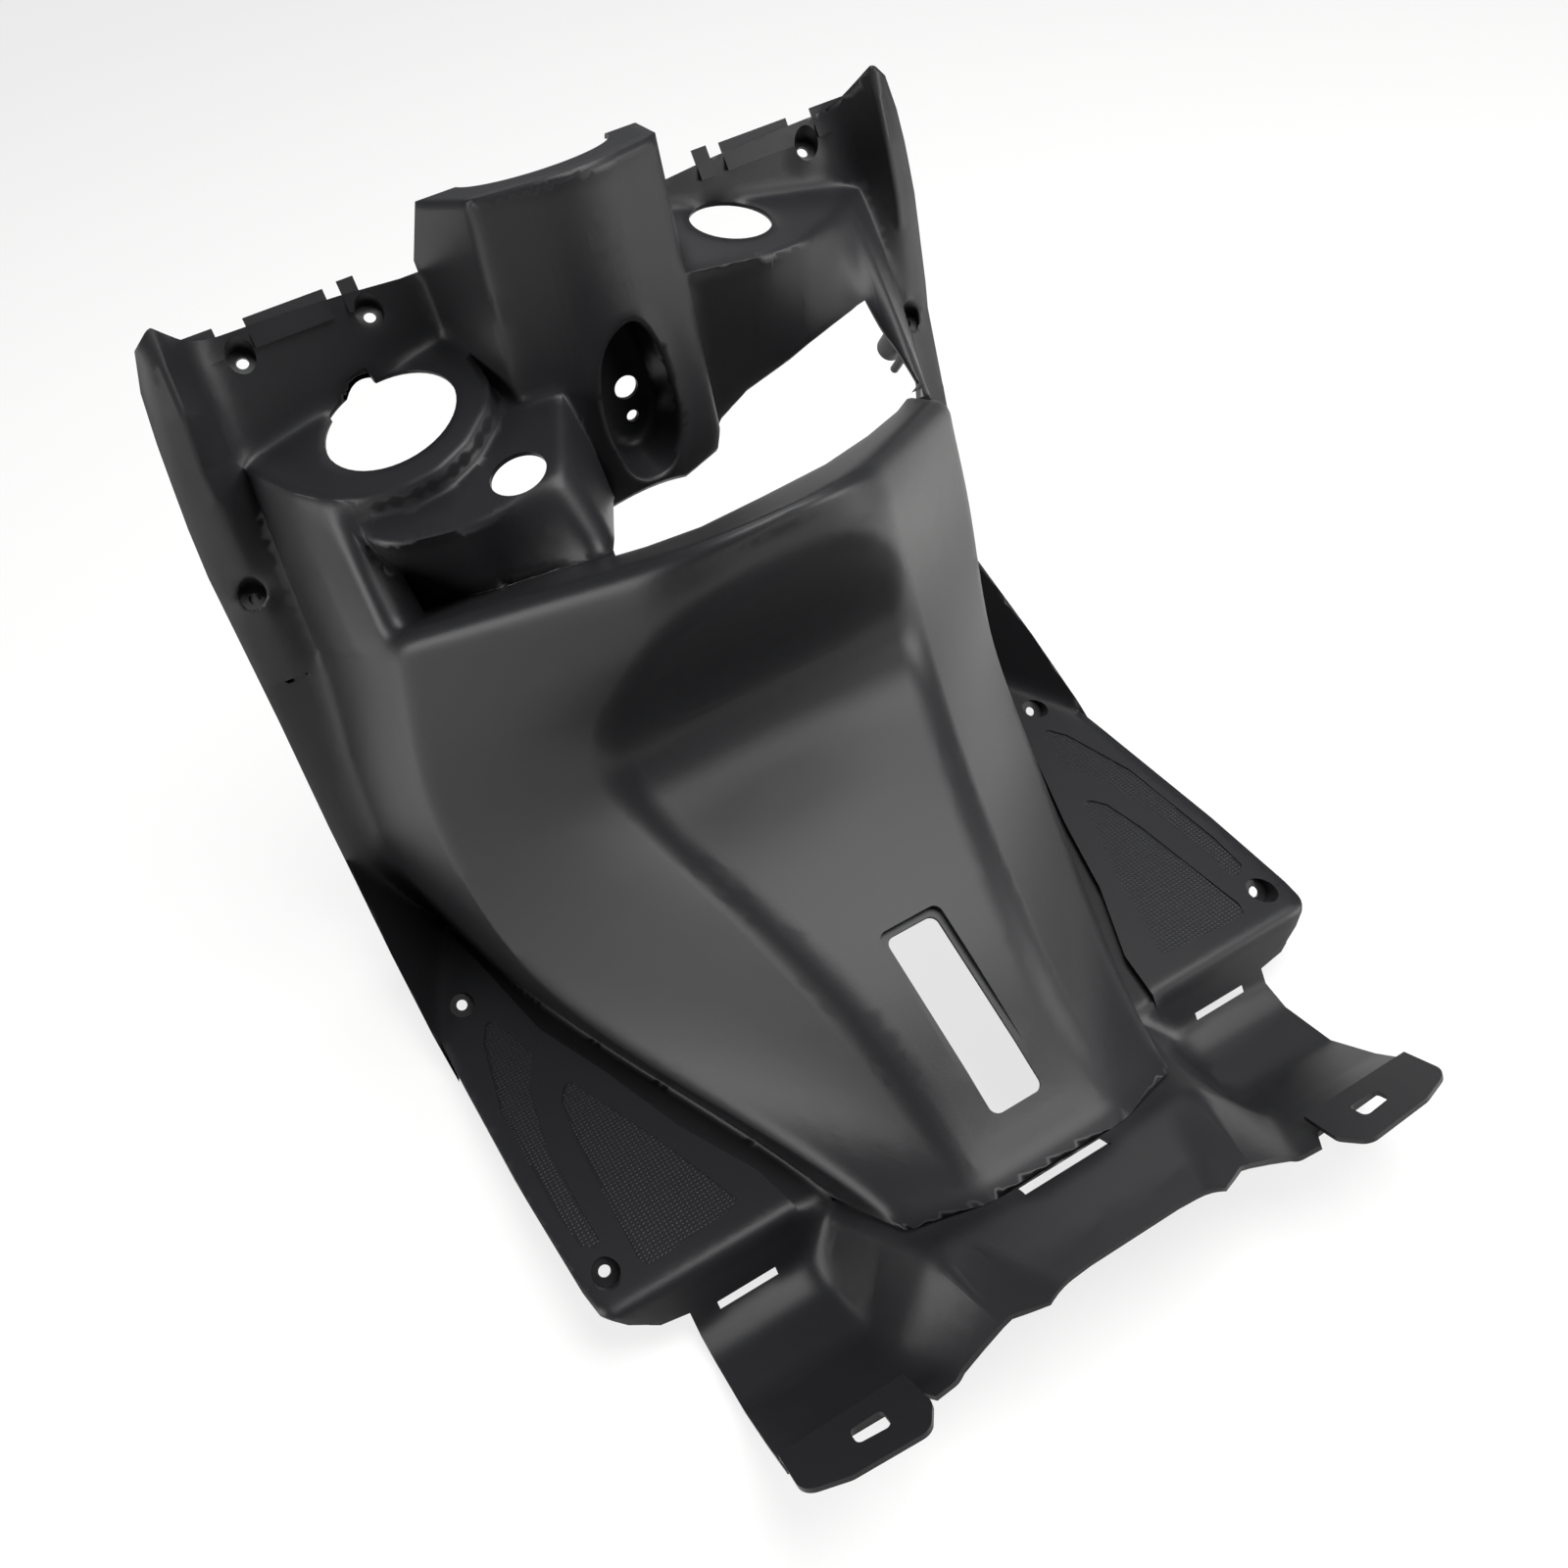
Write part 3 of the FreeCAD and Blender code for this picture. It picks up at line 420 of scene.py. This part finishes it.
def makeTread(floors, finish):
    holder = bpy.data.objects.new("treadFloors", floors)
    scene.collection.objects.link(holder)
    nodes = holder.modifiers.new("knurl", "NODES")
    nodes.node_group = knurlNodes()
    for item in nodes.node_group.interface.items_tree:
        if item.in_out == "INPUT" and item.name == "finish":
            nodes[item.identifier] = finish
    made = bpy.data.meshes.new_from_object(holder.evaluated_get(bpy.context.evaluated_depsgraph_get()))
    bpy.data.objects.remove(holder)
    made.name = "treadKnurl"
    made.materials.clear()
    made.materials.append(finish)
    piece = bpy.data.objects.new("treadKnurl", made)
    scene.collection.objects.link(piece)
    return piece


shell, floors = makePanel()
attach(shell, "root")
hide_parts("inner_panel")
print("panel ready:", len(shell.data.polygons), "faces")

knurl = makeTread(floors, shell.data.materials[0])
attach(knurl, "root")
print("tread ready:", len(knurl.data.polygons), "faces")

# Camera: fitted to the photograph by its mirrored pairs of points
camera = {
    "at": (-0.230715, -0.796835, 0.147151),
    "right": (0.859911, -0.219763, -0.460713),
    "up": (0.434985, -0.156793, 0.886681),
    "away": (0.267096, 0.962871, 0.039234),
    "focalPixels": 1540.0,
    "imagePixels": 1600.0,
    "sensor": 36.0,            # millimetres
    "nearest": 0.01,
    "farthest": 50.0,
}


def makeCamera():
    data = bpy.data.cameras.new("photoView")
    data.sensor_width = camera["sensor"]
    data.lens = camera["focalPixels"] / camera["imagePixels"] * camera["sensor"]
    data.clip_start = camera["nearest"]
    data.clip_end = camera["farthest"]
    holder = bpy.data.objects.new("photoView", data)
    scene.collection.objects.link(holder)
    turn = Matrix((camera["right"], camera["up"], [-c for c in camera["away"]])).transposed()
    holder.matrix_world = Matrix.Translation(camera["at"]) @ turn.to_4x4()
    scene.camera = holder


makeCamera()

# Studio: pale board that the panel lies on, soft lamps, white surroundings
studio = {
    "groundNormal": (0.0, -0.763, 0.647),
    "groundGap": 0.004,
    "groundSize": 12.0,
    "groundColour": "#f4f3f1",
    "whiteShare": 0.75,        # share of plain white in what the camera sees of the board
    "white": "#ffffff",
    "surroundings": "#c4c6c9",
    "surroundStrength": 0.3,
}
# Each lamp: (right, up, toward the camera) from the panel's middle in metres, size, watts
lamps = {
    "keyLamp": ((0.35, 1.2, 1.35), 1.3, 36.0),
    "leftLamp": ((-1.5, -0.4, 0.8), 1.0, 20.0),
    "rightLamp": ((1.5, 0.3, 0.6), 1.0, 20.0),
    "topLamp": ((-0.2, 1.7, 0.2), 0.8, 6.0),
    "backLamp": ((0.2, 0.6, -1.9), 1.4, 30.0),
}
middle = Vector((0.0, 0.02, 0.2))


def paintedBoard():
    material = bpy.data.materials.new("paintedBoard")
    material.use_nodes = True
    tree = material.node_tree
    tree.nodes.clear()
    board = addNode(tree, "ShaderNodeBsdfDiffuse")
    board.inputs["Color"].default_value = toLinear(studio["groundColour"])
    # Seen by the camera, the board burns out to white but keeps part of the shadow
    white = addNode(tree, "ShaderNodeEmission", Strength=1.0)
    ray = addNode(tree, "ShaderNodeLightPath")
    share = addNode(tree, "ShaderNodeMath", operation="MULTIPLY")
    share.inputs[1].default_value = studio["whiteShare"]
    tree.links.new(ray.outputs["Is Camera Ray"], share.inputs[0])
    surface = addNode(tree, "ShaderNodeMixShader", [("Fac", share.outputs["Value"])])
    tree.links.new(board.outputs["BSDF"], surface.inputs[1])
    tree.links.new(white.outputs["Emission"], surface.inputs[2])
    # From behind, the board is not there, so that the panel's back can be seen and lit
    side = addNode(tree, "ShaderNodeNewGeometry")
    through = addNode(tree, "ShaderNodeMath",
                      [(0, side.outputs["Backfacing"]), (1, ray.outputs["Is Shadow Ray"])],
                      operation="MAXIMUM")
    clear = addNode(tree, "ShaderNodeBsdfTransparent")
    shown = addNode(tree, "ShaderNodeMixShader", [("Fac", through.outputs["Value"])])
    tree.links.new(surface.outputs["Shader"], shown.inputs[1])
    tree.links.new(clear.outputs["BSDF"], shown.inputs[2])
    addNode(tree, "ShaderNodeOutputMaterial", [("Surface", shown.outputs["Shader"])])
    return material


def makeGround():
    # The plane on which the panel rests when it lies on its open back
    normal = Vector(studio["groundNormal"]).normalized()
    depth = min(v.co.dot(normal) for v in shell.data.vertices) - studio["groundGap"]
    half = studio["groundSize"] / 2
    across = Vector((1.0, 0.0, 0.0))
    along = normal.cross(across)
    centre = normal * depth + (middle - normal * middle.dot(normal))
    signs = ((-1, -1), (1, -1), (1, 1), (-1, 1))
    corners = [centre + across * sx * half + along * sy * half for sx, sy in signs]
    mesh = bpy.data.meshes.new("ground")
    mesh.from_pydata([tuple(c) for c in corners], [], [(0, 1, 2, 3)])
    if mesh.polygons[0].normal.dot(normal) < 0:
        mesh.flip_normals()
    mesh.materials.append(paintedBoard())
    ground = bpy.data.objects.new("ground", mesh)
    scene.collection.objects.link(ground)
    return ground


def makeLamps():
    right, up, away = (Vector(camera[k]) for k in ("right", "up", "away"))
    for name, (offset, size, watts) in lamps.items():
        data = bpy.data.lights.new(name, "AREA")
        data.shape = "DISK"
        data.size = size
        data.energy = watts
        holder = bpy.data.objects.new(name, data)
        holder.location = middle + right * offset[0] + up * offset[1] - away * offset[2]
        holder.rotation_mode = "QUATERNION"
        holder.rotation_quaternion = (middle - holder.location).to_track_quat("-Z", "Y")
        scene.collection.objects.link(holder)


def makeSurroundings():
    world = bpy.data.worlds.new("surroundings")
    scene.world = world
    world.use_nodes = True
    tree = world.node_tree
    tree.nodes.clear()
    ray = addNode(tree, "ShaderNodeLightPath")
    seen = addNode(tree, "ShaderNodeBackground", Strength=1.0)
    seen.inputs["Color"].default_value = toLinear(studio["white"])
    lit = addNode(tree, "ShaderNodeBackground", Strength=studio["surroundStrength"])
    lit.inputs["Color"].default_value = toLinear(studio["surroundings"])
    mix = addNode(tree, "ShaderNodeMixShader", [("Fac", ray.outputs["Is Camera Ray"])])
    tree.links.new(lit.outputs["Background"], mix.inputs[1])
    tree.links.new(seen.outputs["Background"], mix.inputs[2])
    addNode(tree, "ShaderNodeOutputWorld", [("Surface", mix.outputs["Shader"])])


makeGround()
makeLamps()
makeSurroundings()
scene.view_settings.view_transform = "Standard"
print("studio ready")
